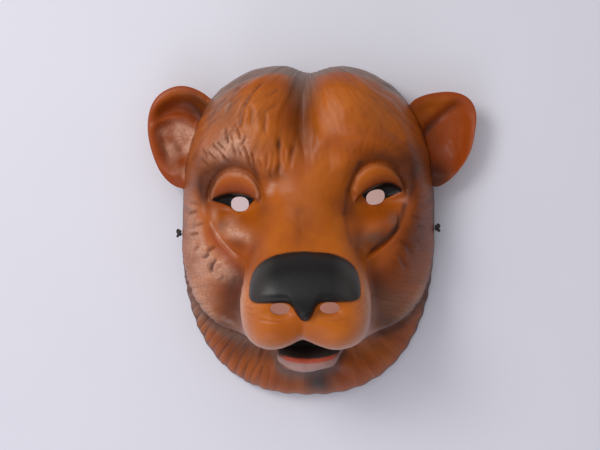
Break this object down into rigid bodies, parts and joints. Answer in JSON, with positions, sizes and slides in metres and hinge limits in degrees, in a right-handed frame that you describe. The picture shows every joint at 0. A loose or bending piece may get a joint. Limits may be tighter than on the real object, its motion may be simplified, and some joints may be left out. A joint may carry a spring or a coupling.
{
  "type": "bear mask",
  "caption": "Hollow moulded carnival mask of a bear's face with ears, pierced eyes and nostrils, and an elastic cord knotted at its side holes.",
  "frame": {"origin": "middle of the rim plane, under the middle of the mask's box", "axes": "+Z the way the face looks, +Y to the top of the head, +X to the right as one looks at the face"},
  "size_m": [0.2062, 0.2092, 0.1064],
  "materials": {
    "painted_moulding": "moulded shell with satin brush and airbrush paint",
    "braided_elastic": "thin braided elastic cord, dark brown-black"
  },
  "bodies": {
    "root": {"face_shell": "painted_moulding", "elastic_cord": "braided_elastic", "knot_left": "braided_elastic", "knot_right": "braided_elastic"}
  },
  "joints": []
}
